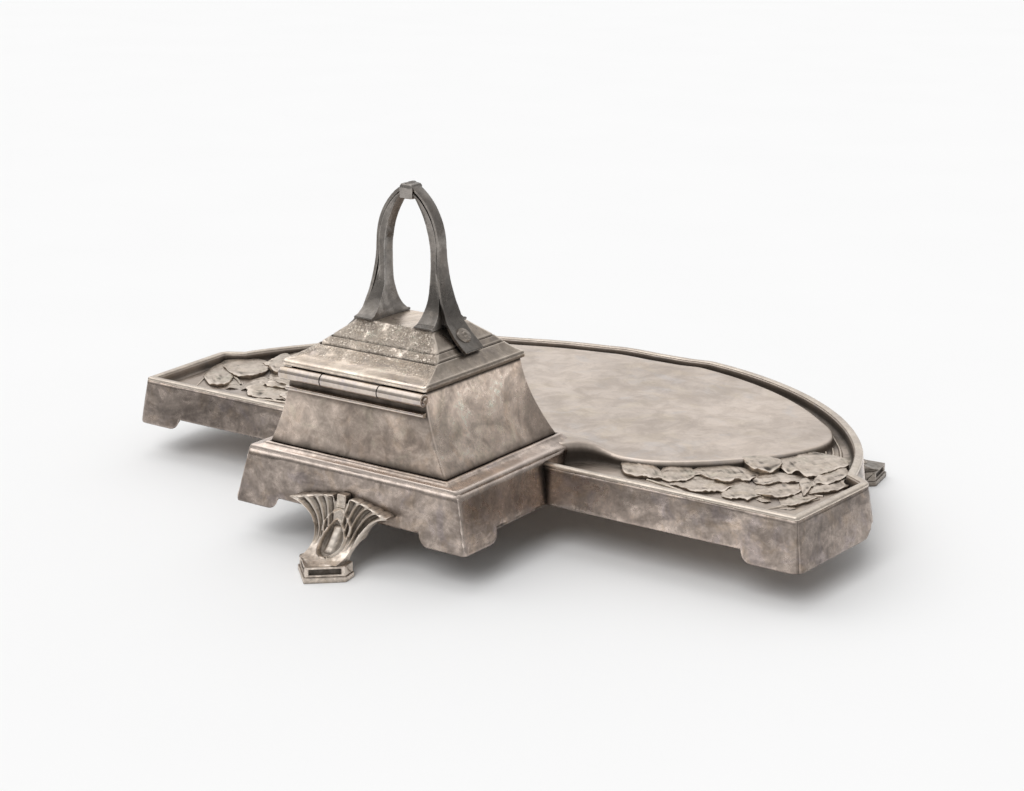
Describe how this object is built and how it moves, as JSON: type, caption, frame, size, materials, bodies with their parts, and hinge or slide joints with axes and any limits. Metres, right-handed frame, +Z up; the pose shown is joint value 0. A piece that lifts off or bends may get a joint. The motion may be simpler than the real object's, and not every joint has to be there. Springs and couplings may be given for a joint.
{
  "type": "desk inkstand",
  "caption": "Half-round desk inkstand: raised pen tray on cast feet, square plinth, tapering ink well with glass liner and a hinged stepped lid with loop handle.",
  "frame": {"origin": "middle of the footprint's bounding box, on the surface the feet stand on", "axes": "+X along the straight rear edge, +Y from the curved user side to the plinth and hinge side, +Z up"},
  "size_m": [0.2948, 0.2283, 0.1249],
  "materials": {
    "plated_body": "aged silver plate, satin with warm brown tarnish",
    "plated_pan": "aged silver plate, rubbed and streaky",
    "plated_relief": "aged silver plate, dark in the hollows",
    "plated_well": "aged silver plate, mottled",
    "plated_lid": "aged silver plate, cool grey with rubbed edges",
    "plated_bright": "rubbed silver plate",
    "plated_feet": "cast metal, silver plated, dark in the recesses",
    "clear_glass": "clear pressed glass"
  },
  "bodies": {
    "base": {"tray_plate": "plated_pan", "front_apron": "plated_body", "rear_apron_left": "plated_body", "rear_apron_right": "plated_body", "end_apron_left": "plated_body", "end_apron_right": "plated_body", "plinth": "plated_body", "plinth_moulding": "plated_body", "well_housing": "plated_well", "well_collar": "plated_bright", "hinge_ledge": "plated_bright", "knuckle_left": "plated_bright", "knuckle_right": "plated_bright", "hinge_pin": "plated_bright", "leaf_spray_left": "plated_relief", "leaf_spray_right": "plated_relief", "rear_foot": "plated_feet", "front_foot_left": "plated_feet", "front_foot_right": "plated_feet"},
    "liner": {"glass_liner": "clear_glass"},
    "lid": {"knuckle_middle": "plated_bright", "lid_leaf": "plated_lid", "lid_shell": "plated_lid", "handle_arch": "plated_lid", "rivet_left": "plated_bright", "rivet_right": "plated_bright"}
  },
  "joints": [
    {"name": "lid_hinge", "type": "hinge", "parent": "base", "child": "lid", "pos_m": [0, 0.08685, 0.0614], "axis": [-1, 0, 0], "range_deg": [0, 105]},
    {"name": "liner_lift", "type": "slide", "parent": "base", "child": "liner", "axis": [0, 0, 1], "range_m": [0, 0.0018]}
  ]
}
